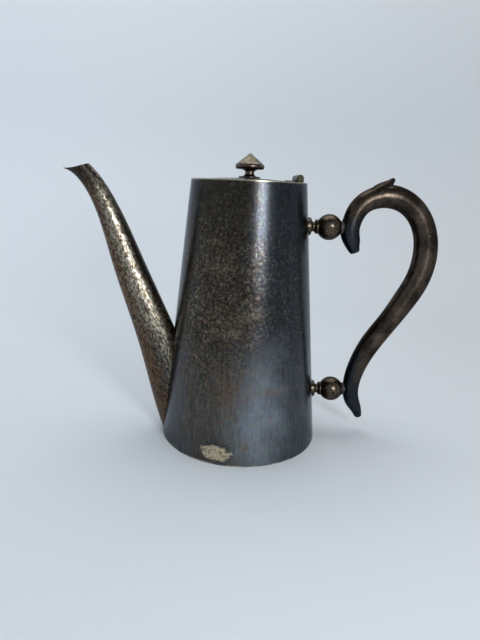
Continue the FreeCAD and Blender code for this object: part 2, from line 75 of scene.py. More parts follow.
def add(tree, kind, inputs=None, out=None, **settings):
    """Adds a node with its settings and links. Returns its first output in use, or the one named."""
    node = tree.nodes.new("ShaderNode" + kind)
    for name, value in settings.items():
        setattr(node, name, value)
    for name, value in (inputs or {}).items():
        socket = next(s for s in node.inputs if s.enabled and name in (s.identifier, s.name))
        if isinstance(value, bpy.types.NodeSocket):
            tree.links.new(value, socket)
        else:
            socket.default_value = linear(value) if isinstance(value, str) else value
    return node.outputs[out] if out else next(s for s in node.outputs if s.enabled)


def new_finish(name):
    """A material, its tree, its shader and the place on the pot in millimetres."""
    finish = bpy.data.materials.new(name)
    finish.use_nodes = True
    tree = finish.node_tree
    place = add(tree, "TexCoord", out="Object")
    place = add(tree, "VectorMath", {"Vector": place, "Scale": MM}, operation="SCALE")
    return finish, tree, tree.nodes["Principled BSDF"], place


print("linear mid grey:", round(linear("#808080")[0], 3))

# %% [markdown]
# ## Tarnished silver plate: the film
# The body is sheet brass with a thin coat of silver. Silver sulphide has grown on it, first yellow,
# then brown, then blue-black. On this pot the film is brown-black on the front, bluer towards the
# handle and beside the spout, and low on the wall it is a smooth slate grey with faint lines of the
# old polishing. All of it is a metal, so the layers only change its colour, roughness and relief.
# The masks are ramps along the pot's own axes, which clouds of noise push to and fro.

# %% Film: masks
# Gives the eye a dark, glossy metal, brown to blue, that glints in grains.
plate, tree, shader, place = new_finish("tarnished_silver_plate")
SMOOTH = {"interpolation_type": "SMOOTHSTEP"}
COLOUR = {"data_type": "RGBA"}
TIMES = {"operation": "MULTIPLY"}
CLOUD_MM = 22.0
WANDER_MM = 40.0                       # how far the clouds push a border, from end to end
LINE_MM, LINE_STRETCH = 1.2, 20.0      # real polishing lines are finer: drawn so that they show
BLUE_FROM, BLUE_FULL = -8.0, 14.0      # along X, towards the handle
SPOUT_SIDE_FROM, SPOUT_SIDE_FULL = -26.0, -42.0
SLATE_FROM, SLATE_FULL = 95.0, 25.0    # in height

along_x = add(tree, "SeparateXYZ", {"Vector": place}, out="X")
height = along_x.node.outputs["Z"]
clouds = add(tree, "TexNoise", {"Vector": place, "Scale": 1 / CLOUD_MM, "Detail": 4.0, "Roughness": 0.6})
drawn_out = add(tree, "Mapping", {"Vector": place, "Scale": (1.0, 1.0, 1 / LINE_STRETCH)})
lines = add(tree, "TexNoise", {"Vector": drawn_out, "Scale": 1 / LINE_MM, "Detail": 2.0})

wander = add(tree, "Math", {
    "Value": clouds, "Value_001": WANDER_MM, "Value_002": -WANDER_MM / 2,
}, operation="MULTIPLY_ADD")
side = add(tree, "Math", {"Value": along_x, "Value_001": wander}, operation="ADD")
low_edge = add(tree, "Math", {"Value": height, "Value_001": wander}, operation="ADD")
blue = add(tree, "MapRange", {"Value": side, "From Min": BLUE_FROM, "From Max": BLUE_FULL}, **SMOOTH)
beside = add(tree, "MapRange", {
    "Value": side, "From Min": SPOUT_SIDE_FROM, "From Max": SPOUT_SIDE_FULL,
}, **SMOOTH)
cool = add(tree, "Math", {"Value": blue, "Value_001": beside}, operation="MAXIMUM")
low = add(tree, "MapRange", {"Value": low_edge, "From Min": SLATE_FROM, "From Max": SLATE_FULL}, **SMOOTH)
print(plate.name, "mask nodes:", len(tree.nodes))

# %% [markdown]
# ## Tarnished silver plate: the film's colours
# With the masks ready, the film's colours are laid one over the other: the dark film, the slate low
# on the wall, a pale band low on the front right, which is a painted highlight that carries the lamp's
# bright line further down the wall, and the polishing lines, lighter and darker ones, which show
# mostly in the slate.

# %% Film: colours
SHEEN_FROM, SHEEN_FULL = -24.0, 14.0     # along X, where the painted highlight begins
SHEEN_FADE_FROM, SHEEN_GONE = 8.0, 36.0     # and where it has faded out

film = add(tree, "Mix", {"Factor_Float": cool, "A_Color": "#242019", "B_Color": "#282c31"}, **COLOUR)
slate = add(tree, "Mix", {"Factor_Float": cool, "A_Color": "#464440", "B_Color": "#474b50"}, **COLOUR)
film = add(tree, "Mix", {"Factor_Float": low, "A_Color": film, "B_Color": slate}, **COLOUR)
# Painted highlight: a pale band low on the front right, the lower end of the lamp's bright line.
painted_sheen = add(tree, "MapRange", {"Value": side, "From Min": SHEEN_FROM, "From Max": SHEEN_FULL}, **SMOOTH)
sheen_fade = add(tree, "MapRange", {"Value": side, "From Min": SHEEN_GONE, "From Max": SHEEN_FADE_FROM}, **SMOOTH)
for mask in (sheen_fade, low):
    painted_sheen = add(tree, "Math", {"Value": painted_sheen, "Value_001": mask}, **TIMES)
film = add(tree, "Mix", {"Factor_Float": painted_sheen, "A_Color": film, "B_Color": "#828990"}, **COLOUR)

faint = add(tree, "MapRange", {"Value": low, "To Min": 0.08, "To Max": 0.3})
for start, full, colour in ((0.48, 0.72, "#777b7f"), (0.50, 0.30, "#1d1f22")):
    brushed = add(tree, "MapRange", {"Value": lines, "From Min": start, "From Max": full})
    brushed = add(tree, "Math", {"Value": brushed, "Value_001": faint}, **TIMES)
    film = add(tree, "Mix", {"Factor_Float": brushed, "A_Color": film, "B_Color": colour}, **COLOUR)
print(plate.name, "film nodes:", len(tree.nodes))

# %% [markdown]
# ## Tarnished silver plate: the speckle
# Years of rubbing have opened the film again in tiny flecks: brown where it is only thinner, tan
# and silver where the plate shows, and black pits between them, all greyer where the film is blue.
# The flecks are one fine noise cut at three levels. A coarser noise makes them gather in drifts,
# and they thin out low on the wall, near the rim and towards the handle. Another, faint noise tints
# them, because the film's colour depends on its thickness.

# %% Speckle
FLECK_MM = 1.8         # the largest clusters, broken up by finer octaves
DRIFT_MM = 9.0
TINT_MM = 2.5
TINTED = 0.3           # share of the tints
SPARSE_LOW, DENSE_LOW = 20.0, 95.0        # in height, low on the wall
SPARSE_HIGH, DENSE_HIGH = 172.0, 110.0    # and towards the rim
FLECKS = (             # where in the noise they start and are full, colour on brown and on blue film
    (0.42, 0.57, "#584a3c", "#4b4b4b"),
    (0.53, 0.68, "#a89e8b", "#a3a6a9"),
    (0.47, 0.35, "#151310", "#131416"),
)
flecks = add(tree, "TexNoise", {"Vector": place, "Scale": 1 / FLECK_MM, "Detail": 5.0, "Roughness": 0.9})
drifts = add(tree, "TexNoise", {"Vector": place, "Scale": 1 / DRIFT_MM, "Detail": 4.0, "Roughness": 0.65})
tints = add(tree, "TexNoise", {"Vector": place, "Scale": 1 / TINT_MM, "Detail": 1.0}, out="Color")

dense = add(tree, "MapRange", {
    "Value": drifts, "From Min": 0.36, "From Max": 0.64, "To Min": 0.55,
}, **SMOOTH)
lower = add(tree, "MapRange", {
    "Value": low_edge, "From Min": SPARSE_LOW, "From Max": DENSE_LOW, "To Min": 0.35,
}, **SMOOTH)
upper = add(tree, "MapRange", {
    "Value": height, "From Min": SPARSE_HIGH, "From Max": DENSE_HIGH, "To Min": 0.25,
}, **SMOOTH)
calm = add(tree, "MapRange", {"Value": blue, "To Min": 1.0, "To Max": 0.55})
for mask in (lower, upper, calm):
    dense = add(tree, "Math", {"Value": dense, "Value_001": mask}, **TIMES)

tone = film
for start, full, brown, grey in FLECKS:
    level = add(tree, "MapRange", {"Value": flecks, "From Min": start, "From Max": full}, **SMOOTH)
    level = add(tree, "Math", {"Value": level, "Value_001": dense}, **TIMES)
    fleck = add(tree, "Mix", {"Factor_Float": blue, "A_Color": brown, "B_Color": grey}, **COLOUR)
    tone = add(tree, "Mix", {"Factor_Float": level, "A_Color": tone, "B_Color": fleck}, **COLOUR)
OVERLAY = {"blend_type": "OVERLAY", **COLOUR}
tone = add(tree, "Mix", {"Factor_Float": TINTED, "A_Color": tone, "B_Color": tints}, **OVERLAY)
print(plate.name, "with speckle:", len(tree.nodes))

# %% [markdown]
# ## Tarnished silver plate: worn places
# Some places have their own story: rust-brown stains, a thin brown tide line, pale smears where
# something rubbed, and a patch by the foot that has lost its plate and has a dark border. Each is
# an oval round a point on the wall. Noise is added to the distance from that point, which makes its
# edge ragged. The stains fade out softly and break up into grains. The bare patch has a crisp edge.

# %% Worn places
SOFT, CRISP = 0.0, 0.88     # how far out, of the half size, a place is still whole
WORN_PLACES = (             # centre and half size in millimetres, colour, strength, edge, raggedness
    ((-12.0, -48.0, 46.0), (11.0, 12.0, 24.0), "#74523b", 0.6, SOFT, 1.0),
    ((16.0, -47.0, 47.5), (26.0, 18.0, 3.0), "#74665a", 0.9, SOFT, 1.0),
    ((-11.0, -44.7, 86.0), (12.0, 10.0, 8.0), "#8f8268", 0.5, SOFT, 1.0),
    ((0.0, -45.4, 95.0), (16.0, 12.0, 8.0), "#97866c", 0.45, SOFT, 1.0),
    ((-18.0, -38.0, 123.5), (16.0, 14.0, 5.0), "#8c7c68", 0.5, SOFT, 1.0),
    ((-22.6, -34.4, 138.0), (9.0, 10.0, 5.0), "#85705c", 0.4, SOFT, 1.0),
    ((1.0, -53.4, 12.0), (5.0, 9.0, 10.0), "#6f5a3c", 0.9, SOFT, 1.0),
    ((-17.7, -50.8, 10.0), (13.0, 14.0, 6.0), "#1b1814", 1.6, SOFT, 1.0),
    ((-17.7, -50.8, 7.4), (10.2, 10.5, 5.0), "#cdc0a3", 1.0, CRISP, 0.55),
)
RAGGED_MM = 3.2
RAGGED = 1.4
ragged = add(tree, "TexNoise", {"Vector": place, "Scale": 1 / RAGGED_MM, "Detail": 5.0, "Roughness": 0.75})
ragged = add(tree, "MapRange", {"Value": ragged, "To Min": -RAGGED, "To Max": RAGGED})
grainy = add(tree, "MapRange", {
    "Value": flecks, "From Min": 0.40, "From Max": 0.62, "To Min": 0.15,
}, **SMOOTH)
for centre, half, colour, strength, edge, share in WORN_PLACES:
    away = add(tree, "VectorMath", {"Vector": place, "Vector_001": centre}, operation="SUBTRACT")
    away = add(tree, "VectorMath", {"Vector": away, "Vector_001": half}, operation="DIVIDE")
    away = add(tree, "VectorMath", {"Vector": away}, out="Value", operation="LENGTH")
    jag = add(tree, "Math", {"Value": ragged, "Value_001": share}, **TIMES)
    away = add(tree, "Math", {"Value": away, "Value_001": jag}, operation="ADD")
    worn = add(tree, "MapRange", {
        "Value": away, "From Min": 1.0, "From Max": edge, "To Max": strength,
    }, **SMOOTH)
    if edge == SOFT:
        worn = add(tree, "Math", {"Value": worn, "Value_001": grainy}, **TIMES)
    tone = add(tree, "Mix", {"Factor_Float": worn, "A_Color": tone, "B_Color": colour}, **COLOUR)

bare = worn
stained = add(tree, "MapRange", {"Value": flecks, "From Min": 0.53, "From Max": 0.42, "To Max": 0.9})
stained = add(tree, "Math", {"Value": stained, "Value_001": bare}, **TIMES)
tone = add(tree, "Mix", {"Factor_Float": stained, "A_Color": tone, "B_Color": "#5d5038"}, **COLOUR)
print("worn places:", len(WORN_PLACES))

# %% [markdown]
# ## Tarnished silver plate: edges
# The rim and the edge of the foot are rubbed bright, as every corner is that a cloth catches. They
# are found by their height, and the rim also by its distance from the axis, because the lid lies
# level with it and keeps its film.

# %% Edges
RIM_MM = 175.0
RIM_FROM_MM, RIM_FULL_MM = RIM_MM - 1.0, RIM_MM - 0.35
FOOT_FROM_MM, FOOT_FULL_MM = 1.1, 0.4
LID_EDGE_MM, WALL_INSIDE_MM = 36.2, 36.5    # from the axis, at the rim


def from_axis(tree, place):
    """Distance from the pot's axis."""
    flat = add(tree, "VectorMath", {
        "Vector": place, "Vector_001": (1.0, 1.0, 0.0),
    }, operation="MULTIPLY")
    return add(tree, "VectorMath", {"Vector": flat}, out="Value", operation="LENGTH")


radius = from_axis(tree, place)
rim = add(tree, "MapRange", {"Value": height, "From Min": RIM_FROM_MM, "From Max": RIM_FULL_MM})
on_wall = add(tree, "MapRange", {"Value": radius, "From Min": LID_EDGE_MM, "From Max": WALL_INSIDE_MM})
rim = add(tree, "Math", {"Value": rim, "Value_001": on_wall}, **TIMES)
foot = add(tree, "MapRange", {"Value": height, "From Min": FOOT_FROM_MM, "From Max": FOOT_FULL_MM})
rubbed = add(tree, "MapRange", {"Value": drifts, "From Min": 0.4, "From Max": 0.55})
foot = add(tree, "Math", {"Value": foot, "Value_001": rubbed}, **TIMES)
edges = add(tree, "Math", {"Value": rim, "Value_001": foot}, operation="MAXIMUM")
tone = add(tree, "Mix", {"Factor_Float": edges, "A_Color": tone, "B_Color": "#a8a088"}, **COLOUR)
print(plate.name, "with edges:", len(tree.nodes))

# %% [markdown]
# ## Tarnished silver plate: the inside
# Inside the pot, coffee has left a brown varnish on the silver. What is inside is told from the
# shape: nearer to the axis than the middle of the wall, below the middle of the domed lid and above
# the middle of the floor. The dome and the floor are shallow, so a parabola is close enough.

# %% Inside
FOOT_RADIUS_MM, RIM_RADIUS_MM = 54.5, 37.5
TAPER = (FOOT_RADIUS_MM - RIM_RADIUS_MM) / RIM_MM    # how far the wall leans in, per mm of height
WALL_MIDDLE_MM, SHARP_MM = 0.5, 0.1    # below the outer skin, and how sharp the border is
SKINS = (              # reach from the axis, rise, height of the middle of the sheet, way inwards
    (30.0, 1.7, RIM_MM - 0.5, -SHARP_MM),
    (50.0, 1.5, 5.45, SHARP_MM),
)


def at_foot(tree, height, radius):
    """Distance from the axis, carried down to the foot along the taper of the wall."""
    return add(tree, "Math", {
        "Value": height, "Value_001": TAPER, "Value_002": radius,
    }, operation="MULTIPLY_ADD")


outwards = at_foot(tree, height, radius)
middle = FOOT_RADIUS_MM - WALL_MIDDLE_MM
inside = add(tree, "MapRange", {
    "Value": outwards, "From Min": middle + SHARP_MM, "From Max": middle - SHARP_MM,
})
for reach, rise, level, way in SKINS:
    out = add(tree, "Math", {"Value": radius, "Value_001": reach}, operation="DIVIDE", use_clamp=True)
    drop = add(tree, "Math", {"Value": out, "Value_001": 2.0}, operation="POWER")
    skin = add(tree, "Math", {
        "Value": drop, "Value_001": rise, "Value_002": height,
    }, operation="MULTIPLY_ADD")
    crown = level + rise
    beyond = add(tree, "MapRange", {"Value": skin, "From Min": crown, "From Max": crown + way})
    inside = add(tree, "Math", {"Value": inside, "Value_001": beyond}, **TIMES)
varnish = add(tree, "Mix", {"Factor_Float": drifts, "A_Color": "#6a5540", "B_Color": "#b89f7e"}, **COLOUR)
tone = add(tree, "Mix", {"Factor_Float": inside, "A_Color": tone, "B_Color": varnish}, **COLOUR)
print(plate.name, "with its inside:", len(tree.nodes))

# %% [markdown]
# ## Tarnished silver plate: gloss and relief
# The film is smooth and fairly glossy, and the bare patch and the varnish are dull. Flecks and
# polishing lines stand a little in relief, which breaks the reflection of a lamp into grains. Over
# the dark metal, the sulphide also shines like a thin varnish of its own: a weak coat with hardly
# any relief gives that clean, bluish line of light. Metal whitens where it is seen edge on, and a
# tarnished one less so, which the tint of its specular colour holds back.

# %% Gloss and relief
NOISE_LOW, NOISE_HIGH = 0.3, 0.7       # most of a noise lies between these
RELIEF_M = 0.0001                      # a tenth of a millimetre, in metres


def dress(tree, shader, tone, rough, bump):
    """Links a metal's colour, roughness and relief to its shader."""
    tree.links.new(tone, shader.inputs["Base Color"])
    tree.links.new(rough, shader.inputs["Roughness"])
    tree.links.new(bump, shader.inputs["Normal"])
    shader.inputs["Metallic"].default_value = 1.0


SPAN = {"From Min": NOISE_LOW, "From Max": NOISE_HIGH}
rough = add(tree, "MapRange", {"Value": drifts, **SPAN, "To Min": 0.2, "To Max": 0.3})
dull = add(tree, "Math", {"Value": bare, "Value_001": inside}, operation="MAXIMUM")
rough = add(tree, "Mix", {"Factor_Float": dull, "A_Float": rough, "B_Float": 0.45})
relief = add(tree, "Math", {"Value": flecks, "Value_001": lower}, **TIMES)
relief = add(tree, "Math", {"Value": relief, "Value_001": lines}, operation="ADD")
bump = add(tree, "Bump", {"Height": relief, "Strength": 0.4, "Distance": RELIEF_M})
ripple = add(tree, "Bump", {"Height": relief, "Strength": 0.1, "Distance": RELIEF_M})
dress(tree, shader, tone, rough, bump)
tree.links.new(ripple, shader.inputs["Coat Normal"])
shader.inputs["Specular Tint"].default_value = linear("#d4d7dc")
shader.inputs["Coat Weight"].default_value = 0.2
shader.inputs["Coat Roughness"].default_value = 0.24
print(plate.name, "nodes:", len(tree.nodes))

# %% [markdown]
# ## The spout's plate: where it is wiped
# The spout is wiped after each cup, so it is rubbed far more than the body, but only where the
# cloth reaches. Its flanks are bright with grains of silver, which gather where the lamp's highlight
# runs and so are partly a painted highlight. Its front is brown and partly painted shade, its back is
# painted shade, and the tip and the root are dark. The spout leans, so the place across it is
# measured from its own middle line: -1 at the front edge, 1 at the back edge.

# %% Spout plate: masks
# Gives the eye a bright, grainy metal between brown and dark borders; the dark back is painted shade.
spout_plate, tree, shader, place = new_finish("wiped_silver_plate")
GRAIN_MM = 1.5         # the largest clusters of grains, broken up by finer octaves as on the body
SPOUT_CLOUD_MM = 9.0
DRAWN_OUT = 1.8        # wiping along the spout makes the grains longer than wide
SPOUT_LEAN = -0.354    # the spout's axis from upright, in radians
SPOUT_START, SPOUT_SLOPE = -33.6, -0.3705    # its middle line: X at the table, and per mm of height
SPOUT_HALF, SPOUT_TAPER = 20.2, -0.0785      # half its depth, front to back, in the same way

wiping = add(tree, "Mapping", {
    "Vector": place, "Rotation": (0.0, SPOUT_LEAN, 0.0), "Scale": (1.0, 1.0, DRAWN_OUT),
}, vector_type="TEXTURE")
clouds = add(tree, "TexNoise", {
    "Vector": wiping, "Scale": 1 / SPOUT_CLOUD_MM, "Detail": 4.0, "Roughness": 0.65,
})
grains = add(tree, "TexNoise", {
    "Vector": wiping, "Scale": 1 / GRAIN_MM, "Detail": 4.0, "Roughness": 0.88,
})
tints = add(tree, "TexNoise", {"Vector": place, "Scale": 1 / TINT_MM, "Detail": 1.0}, out="Color")
along_x = add(tree, "SeparateXYZ", {"Vector": place}, out="X")
height = along_x.node.outputs["Z"]

middle = add(tree, "Math", {
    "Value": height, "Value_001": SPOUT_SLOPE, "Value_002": SPOUT_START,
}, operation="MULTIPLY_ADD")
half = add(tree, "Math", {
    "Value": height, "Value_001": SPOUT_TAPER, "Value_002": SPOUT_HALF,
}, operation="MULTIPLY_ADD")
off = add(tree, "Math", {"Value": along_x, "Value_001": middle}, operation="SUBTRACT")
off = add(tree, "Math", {"Value": off, "Value_001": half}, operation="DIVIDE")
wander = add(tree, "MapRange", {"Value": clouds, "To Min": -0.5, "To Max": 0.5})
off = add(tree, "Math", {"Value": off, "Value_001": wander}, operation="ADD")
print(spout_plate.name, "mask nodes:", len(tree.nodes))

# %% [markdown]
# ## The spout's plate: the film
# The film on the spout is olive on the flanks, streaked brown on the front, and dark at the tip and
# on the flanks of the root. The front's darker brown is partly painted shade. The back is given
# painted shade too, except low in the crook beside the body, where the cloth is pulled through.
# Its mask is kept for the next step, which paints that shade and gives the back fewer grains.

# %% Spout plate: film
ROOT_FROM, ROOT_FULL = 105.0, 50.0     # heights
TIP_FROM, TIP_FULL = 158.0, 175.0
CROOK_FROM, CROOK_FULL = 106.0, 84.0

# The front's darker brown is partly the spout's own colour and partly painted shade.
front = add(tree, "MapRange", {"Value": off, "From Min": -0.1, "From Max": -0.5}, **SMOOTH)
streaks = add(tree, "MapRange", {"Value": grains, "From Min": 0.36, "From Max": 0.64}, **SMOOTH)
brown = add(tree, "Mix", {"Factor_Float": streaks, "A_Color": "#362b24", "B_Color": "#6b5340"}, **COLOUR)
tone = add(tree, "Mix", {"Factor_Float": front, "A_Color": "#685e4f", "B_Color": brown}, **COLOUR)
root = add(tree, "MapRange", {"Value": height, "From Min": ROOT_FROM, "From Max": ROOT_FULL}, **SMOOTH)
dark = add(tree, "Mix", {"Factor_Float": front, "A_Color": "#302e2d", "B_Color": brown}, **COLOUR)
tone = add(tree, "Mix", {"Factor_Float": root, "A_Color": tone, "B_Color": dark}, **COLOUR)
tip = add(tree, "MapRange", {"Value": height, "From Min": TIP_FROM, "From Max": TIP_FULL}, **SMOOTH)
tone = add(tree, "Mix", {"Factor_Float": tip, "A_Color": tone, "B_Color": "#322c26"}, **COLOUR)

# Painted shade on the back of the spout: this mask falls towards the back, except low in the crook.
clear_of_back_shade = add(tree, "MapRange", {
    "Value": off, "From Min": 0.85, "From Max": 0.35, "To Min": 0.1,
}, **SMOOTH)
crook = add(tree, "MapRange", {
    "Value": height, "From Min": CROOK_FROM, "From Max": CROOK_FULL, "To Max": 0.8,
}, **SMOOTH)
clear_of_back_shade = add(tree, "Math", {"Value": clear_of_back_shade, "Value_001": crook}, operation="MAXIMUM")
print(spout_plate.name, "film nodes:", len(tree.nodes))

# %% [markdown]
# ## The spout's plate: grains and solder
# Bright and black grains lie over the film, as dense as the wiping made them and densest where the
# lamp's highlight runs, so they are partly a painted highlight. Before them the back is darkened, as
# painted shade. They are one noise, drawn out along the spout and cut at two levels, as the flecks on
# the body are at three. Last comes a yellowish line of solder round the root, found by its distance
# from the body's wall.

# %% Spout plate: grains
SPOUT_TINTED = 0.2     # share of the tints, weaker than on the body
GRAIN_LEVELS = ((0.46, 0.60, "#d9cfbb"), (0.47, 0.36, "#1f1a15"))

# The bright grains are densest where the lamp's highlight runs: partly a painted highlight.
dense = add(tree, "MapRange", {
    "Value": off, "From Min": -0.5, "From Max": 0.25, "To Min": 0.15,
}, **SMOOTH)
wiped = add(tree, "MapRange", {"Value": root, "To Min": 1.0, "To Max": 0.38})
kept = add(tree, "MapRange", {"Value": tip, "To Min": 1.0, "To Max": 0.45})
for mask in (clear_of_back_shade, wiped, kept):
    dense = add(tree, "Math", {"Value": dense, "Value_001": mask}, **TIMES)
# Painted shade: the back of the spout is darkened.
painted_back_shade = add(tree, "MapRange", {"Value": clear_of_back_shade, "From Min": 0.1, "To Min": 0.75, "To Max": 0.0})
tone = add(tree, "Mix", {"Factor_Float": painted_back_shade, "A_Color": tone, "B_Color": "#27231f"}, **COLOUR)
for start, full, colour in GRAIN_LEVELS:
    level = add(tree, "MapRange", {"Value": grains, "From Min": start, "From Max": full}, **SMOOTH)
    level = add(tree, "Math", {"Value": level, "Value_001": dense}, **TIMES)
    tone = add(tree, "Mix", {"Factor_Float": level, "A_Color": tone, "B_Color": colour}, **COLOUR)
tone = add(tree, "Mix", {"Factor_Float": SPOUT_TINTED, "A_Color": tone, "B_Color": tints}, **OVERLAY)
print(spout_plate.name, "with grains:", len(tree.nodes))

# %% Spout plate: solder and gloss
SOLDER_FROM_MM = FOOT_RADIUS_MM + 1.4  # outside the wall, at the foot
SOLDER_FULL_MM = FOOT_RADIUS_MM + 0.6
SHOWN_FROM, SHOWN_FULL = 40.0, 75.0    # in height: dirt covers the lower end

outwards = at_foot(tree, height, from_axis(tree, place))
solder = add(tree, "MapRange", {"Value": outwards, "From Min": SOLDER_FROM_MM, "From Max": SOLDER_FULL_MM})
shown = add(tree, "MapRange", {
    "Value": height, "From Min": SHOWN_FROM, "From Max": SHOWN_FULL, "To Max": 0.8,
})
solder = add(tree, "Math", {"Value": solder, "Value_001": shown}, **TIMES)
tone = add(tree, "Mix", {"Factor_Float": solder, "A_Color": tone, "B_Color": "#b5a47c"}, **COLOUR)

rough = add(tree, "MapRange", {"Value": grains, **SPAN, "To Min": 0.46, "To Max": 0.32})
bump = add(tree, "Bump", {"Height": grains, "Strength": 0.25, "Distance": RELIEF_M})
dress(tree, shader, tone, rough, bump)
print(spout_plate.name, "nodes:", len(tree.nodes))

# %% [markdown]
# ## The handle's patina
# The handle is a solid casting. Hands have kept it smooth and given it a brown, almost leathery
# patina, a little lighter where the palm rubs, with fine pale specks, and its two tails have stayed
# blue-black. It is a little duller than the body, and its edges stay dark against the pale room.

# %% Handle
# Gives the eye a smooth brown sheen, nearly that of leather.
handle_patina, tree, shader, place = new_finish("handled_bronze_patina")
PALM_MM = 14.0
SPECK_MM = 1.1
UPPER_TAIL_X = (88.0, 78.0)            # where each tail begins and is fully dark
UPPER_TAIL_Z = (160.0, 145.0)
LOWER_TAIL_Z = (46.0, 32.0)
DARK_EDGES = "#b0b2b6"                 # holds back the whitening of metal seen edge on
clouds = add(tree, "TexNoise", {"Vector": place, "Scale": 1 / PALM_MM, "Detail": 5.0, "Roughness": 0.6})
grain = add(tree, "TexNoise", {"Vector": place, "Scale": 1 / SPECK_MM, "Detail": 3.0, "Roughness": 0.6})
rubbed = add(tree, "MapRange", {"Value": clouds, "From Min": 0.40, "From Max": 0.62}, **SMOOTH)
tone = add(tree, "Mix", {"Factor_Float": rubbed, "A_Color": "#2d2722", "B_Color": "#50453c"}, **COLOUR)

along_x = add(tree, "SeparateXYZ", {"Vector": place}, out="X")
height = along_x.node.outputs["Z"]
tails = []
for way, (start, full) in ((along_x, UPPER_TAIL_X), (height, UPPER_TAIL_Z), (height, LOWER_TAIL_Z)):
    tails.append(add(tree, "MapRange", {"Value": way, "From Min": start, "From Max": full}, **SMOOTH))
upper_tail = add(tree, "Math", {"Value": tails[0], "Value_001": tails[1]}, **TIMES)
tail = add(tree, "Math", {"Value": upper_tail, "Value_001": tails[2]}, operation="MAXIMUM")
tone = add(tree, "Mix", {"Factor_Float": tail, "A_Color": tone, "B_Color": "#2d3237"}, **COLOUR)
specks = add(tree, "MapRange", {
    "Value": grain, "From Min": 0.56, "From Max": 0.72, "To Max": 0.5,
}, **SMOOTH)
tone = add(tree, "Mix", {"Factor_Float": specks, "A_Color": tone, "B_Color": "#6a6057"}, **COLOUR)

rough = add(tree, "MapRange", {"Value": grain, **SPAN, "To Min": 0.26, "To Max": 0.36})
bump = add(tree, "Bump", {"Height": grain, "Strength": 0.12, "Distance": RELIEF_M})
dress(tree, shader, tone, rough, bump)
shader.inputs["Specular Tint"].default_value = linear(DARK_EDGES)
print(handle_patina.name, "nodes:", len(tree.nodes))

# %% [markdown]
# ## The sockets' patina
# The two sockets were cast and turned. They have the brown of the handle, but cloudier, because no
# hand evens it out, with pale flecks on the high spots and fine pits from the casting.

# %% Sockets
# Gives the eye a cloudy brown sheen, broken by pits.
socket_patina, tree, shader, place = new_finish("turned_bronze_patina")
SOCKET_CLOUD_MM = 4.0
PIT_MM = 0.9
PIT_DEPTH_M = 0.00012
clouds = add(tree, "TexNoise", {
    "Vector": place, "Scale": 1 / SOCKET_CLOUD_MM, "Detail": 4.0, "Roughness": 0.65,
})
pits = add(tree, "TexNoise", {"Vector": place, "Scale": 1 / PIT_MM, "Detail": 2.0, "Roughness": 0.65})
tone = add(tree, "Mix", {"Factor_Float": clouds, "A_Color": "#292521", "B_Color": "#675b4e"}, **COLOUR)
rubbed = add(tree, "MapRange", {
    "Value": pits, "From Min": 0.55, "From Max": 0.7, "To Max": 0.6,
}, **SMOOTH)
tone = add(tree, "Mix", {"Factor_Float": rubbed, "A_Color": tone, "B_Color": "#988b78"}, **COLOUR)
rough = add(tree, "MapRange", {"Value": clouds, **SPAN, "To Min": 0.22, "To Max": 0.36})
bump = add(tree, "Bump", {"Height": pits, "Strength": 0.4, "Distance": PIT_DEPTH_M})
dress(tree, shader, tone, rough, bump)
shader.inputs["Specular Tint"].default_value = linear(DARK_EDGES)
print(socket_patina.name, "nodes:", len(tree.nodes))

# %% [markdown]
# ## The knob
# The knob's cone is rubbed by fingers to a dull, yellowish grey, while its band and waist, which
# fingers don't reach, stay brown. The border between the two lies at the foot of the cone.

# %% Knob
# Gives the eye a dull yellowish cone over a brown waist.
knob_brass, tree, shader, place = new_finish("rubbed_knob_brass")
CONE_FROM, CONE_FULL = 184.8, 185.8    # in height, at the foot of the cone
KNOB_CLOUD_MM = 3.0
KNOB_GRAIN_MM = 0.8
height = add(tree, "SeparateXYZ", {"Vector": place}, out="Z")
clouds = add(tree, "TexNoise", {
    "Vector": place, "Scale": 1 / KNOB_CLOUD_MM, "Detail": 5.0, "Roughness": 0.65,
})
grain = add(tree, "TexNoise", {
    "Vector": place, "Scale": 1 / KNOB_GRAIN_MM, "Detail": 2.0, "Roughness": 0.65,
})
cone = add(tree, "MapRange", {"Value": height, "From Min": CONE_FROM, "From Max": CONE_FULL})
dark = add(tree, "Mix", {"Factor_Float": clouds, "A_Color": "#332b26", "B_Color": "#74635a"}, **COLOUR)
rubbed = add(tree, "MapRange", {"Value": clouds, "From Min": 0.35, "From Max": 0.65}, **SMOOTH)
pale = add(tree, "Mix", {"Factor_Float": rubbed, "A_Color": "#443e32", "B_Color": "#7d7461"}, **COLOUR)
tone = add(tree, "Mix", {"Factor_Float": cone, "A_Color": dark, "B_Color": pale}, **COLOUR)
rough = add(tree, "MapRange", {"Value": grain, **SPAN, "To Min": 0.25, "To Max": 0.4})
bump = add(tree, "Bump", {"Height": grain, "Strength": 0.25, "Distance": RELIEF_M})
dress(tree, shader, tone, rough, bump)
print(knob_brass.name, "nodes:", len(tree.nodes))

# %% [markdown]
# ## The hinge
# The hinge, the pins and the knob's fastening are dull, yellowish metal with dark grease in it. The
# two ends of the barrel are painted darker, a painted reflection of a dim room. One mottled noise is
# enough for all of them, because they are small.

# %% Hinge
# Gives the eye a dull, mottled metal that hardly glints.
hinge_brass, tree, shader, place = new_finish("greasy_hinge_brass")
GREASE_MM = 1.4
BARREL_END_FROM, BARREL_END_FULL = 7.4, 8.6     # from the middle of the barrel
clouds = add(tree, "TexNoise", {"Vector": place, "Scale": 1 / GREASE_MM, "Detail": 5.0, "Roughness": 0.7})
rubbed = add(tree, "MapRange", {"Value": clouds, "From Min": 0.38, "From Max": 0.66}, **SMOOTH)
tone = add(tree, "Mix", {"Factor_Float": rubbed, "A_Color": "#2a2721", "B_Color": "#675f4e"}, **COLOUR)
across = add(tree, "SeparateXYZ", {"Vector": place}, out="Y")
across = add(tree, "Math", {"Value": across}, operation="ABSOLUTE")
